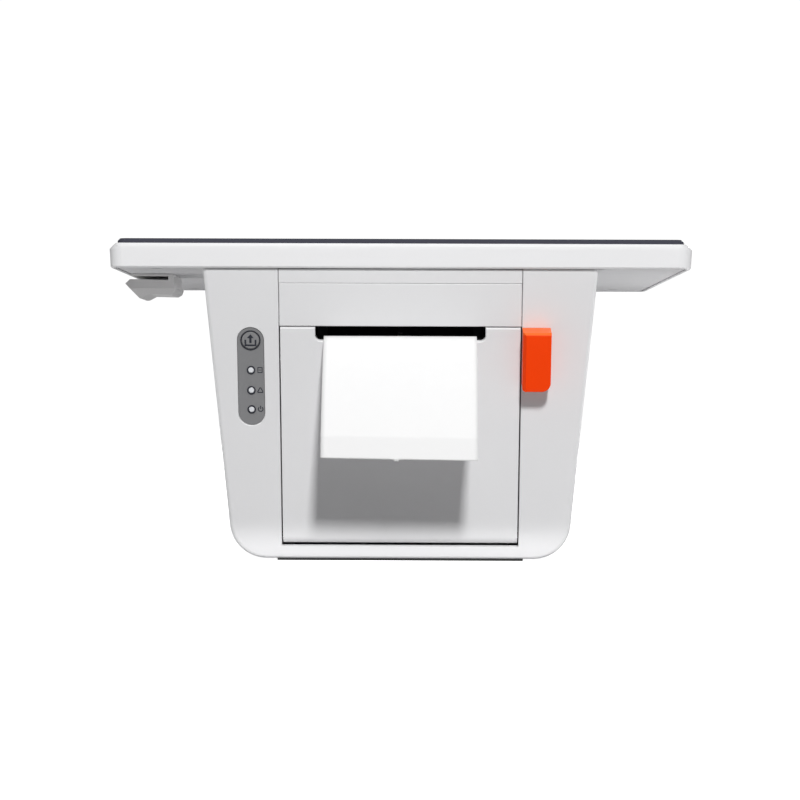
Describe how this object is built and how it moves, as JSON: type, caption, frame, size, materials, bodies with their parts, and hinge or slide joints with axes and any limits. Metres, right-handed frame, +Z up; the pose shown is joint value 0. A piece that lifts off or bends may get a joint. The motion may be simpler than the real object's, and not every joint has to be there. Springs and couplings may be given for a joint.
{
  "type": "touch terminal with receipt printer",
  "caption": "Counter-top touch terminal with a built-in receipt printer: flat screen slab on a tapered base, paper door, release lever, feed button and card reader.",
  "frame": {"origin": "middle of the footprint box of the whole object, on the table", "axes": "+Z up, +X to the right when looking at the printer's face, the face looks towards -Y and the screen's user sits at +Y"},
  "size_m": [0.302, 0.2655, 0.1697],
  "materials": {
    "white_shell": "fine moulded texture",
    "grey_shell": "moulded",
    "reader_plastic": "moulded",
    "screen_glass": "black-backed glass",
    "display": "dark",
    "steel": "zinc plated",
    "screws": "plated",
    "spring_steel": "spring steel",
    "blade_steel": "ground",
    "rubber": "matte",
    "motor_can": "plated",
    "head_aluminium": "anodised",
    "bush_brass": "turned",
    "gear_plastic": "acetal",
    "inner_plastic": "moulded black",
    "socket_metal": "plated",
    "board": "solder mask",
    "lever_orange": "satin moulded",
    "pad_grey": "printed film",
    "button_grey": "moulded",
    "ring_trim": "printed",
    "lens": "milky",
    "paper": "thermal paper",
    "card": "wound card"
  },
  "bodies": {
    "base": {"base_housing": "white_shell", "base_plate": "steel", "rubber_feet": "rubber", "base_back_cover": "grey_shell", "base_top_cover": "grey_shell", "screen_bumpers": "rubber", "hinge_brackets": "steel", "hinge_pins": "steel", "base_screws": "screws", "main_board": "board", "jack_sockets": "inner_plastic", "usb_sockets": "socket_metal", "power_inlet": "inner_plastic", "switch_bezel": "inner_plastic", "top_strip": "white_shell", "front_panel": "white_shell", "control_bezel": "pad_grey", "status_lenses": "lens", "lens_rings": "ring_trim", "control_board": "board", "button_spring": "spring_steel", "printer_frame": "steel", "head_bracket": "steel", "head_pivot_shaft": "steel", "head_springs": "spring_steel", "paper_sensor": "inner_plastic", "cutter_frame": "inner_plastic", "cutter_motor": "motor_can", "feed_motor": "motor_can", "paper_bucket": "inner_plastic", "paper_web": "paper", "lever_pivot_pin": "steel", "lever_spring": "spring_steel", "latch_springs": "spring_steel"},
    "screen": {"screen_bezel": "white_shell", "touch_glass": "screen_glass", "lcd_module": "display", "screen_back_cover": "grey_shell", "screen_screws": "screws", "card_reader_body": "reader_plastic", "card_reader_head": "steel", "hinge_leaves": "steel"},
    "door": {"door_cover": "white_shell", "door_hinge_pins": "steel", "door_inner": "inner_plastic", "fixed_blade": "blade_steel", "platen_bushes": "bush_brass", "paper_strip": "paper"},
    "platen": {"platen_shaft": "steel", "platen_roller": "rubber", "platen_gear": "gear_plastic"},
    "idler": {"idler_gear": "gear_plastic"},
    "pinion": {"motor_pinion": "gear_plastic"},
    "roll": {"paper_roll": "paper", "roll_core": "card"},
    "head": {"print_head": "head_aluminium"},
    "cutter": {"moving_blade": "blade_steel"},
    "lever": {"release_lever": "lever_orange"},
    "button": {"feed_button": "button_grey"},
    "rocker": {"power_switch": "inner_plastic"}
  },
  "joints": [
    {"name": "screen_tilt", "type": "hinge", "parent": "base", "child": "screen", "pos_m": [0, 0.08535, 0.1475], "axis": [-1, 0, 0], "range_deg": [0, 60]},
    {"name": "door_hinge", "type": "hinge", "parent": "base", "child": "door", "pos_m": [0, -0.05815, 0.01415], "axis": [1, 0, 0], "range_deg": [0, 42], "deforming": ["latch_springs"]},
    {"name": "lever_pivot", "type": "hinge", "parent": "base", "child": "lever", "pos_m": [0.0715, -0.07903, 0.09453], "axis": [1, 0, 0], "range_deg": [0, 22], "stiffness_Nm_per_rad": 0.08, "springref_deg": -14.32, "deforming": ["latch_springs", "lever_spring"]},
    {"name": "feed_button_press", "type": "slide", "parent": "base", "child": "button", "axis": [0, 0.9588, 0.284], "range_m": [0, 0.0008], "stiffness_N_per_m": 900, "springref_m": -0.0006, "deforming": ["button_spring"]},
    {"name": "platen_spin", "type": "hinge", "parent": "door", "child": "platen", "pos_m": [0, -0.07847, 0.1046], "axis": [1, 0, 0], "continuous": true},
    {"name": "idler_spin", "type": "hinge", "parent": "base", "child": "idler", "pos_m": [0, -0.0617, 0.10357], "axis": [1, 0, 0], "continuous": true},
    {"name": "pinion_spin", "type": "hinge", "parent": "base", "child": "pinion", "pos_m": [0, -0.0492, 0.09529], "axis": [1, 0, 0], "continuous": true},
    {"name": "roll_spin", "type": "hinge", "parent": "base", "child": "roll", "pos_m": [0, -0.02993, 0.05515], "axis": [1, 0, 0], "continuous": true},
    {"name": "head_pivot", "type": "hinge", "parent": "base", "child": "head", "pos_m": [0, -0.05916, 0.10663], "axis": [-1, 0, 0], "range_deg": [0, 3], "stiffness_Nm_per_rad": 2.5, "springref_deg": -6.88, "deforming": ["head_springs"]},
    {"name": "cutter_stroke", "type": "slide", "parent": "base", "child": "cutter", "axis": [0, -0.4772, -0.8788], "range_m": [0, 0.0055]},
    {"name": "power_rocker", "type": "hinge", "parent": "base", "child": "rocker", "pos_m": [0.0685, 0.07775, 0.0305], "axis": [1, 0, 0], "range_deg": [0, 14]}
  ],
  "couplings": [
    {"joint": "idler_spin", "follows": "platen_spin", "ratio": -0.75},
    {"joint": "pinion_spin", "follows": "platen_spin", "ratio": 1.3333},
    {"joint": "roll_spin", "follows": "platen_spin", "ratio": -0.21537}
  ]
}
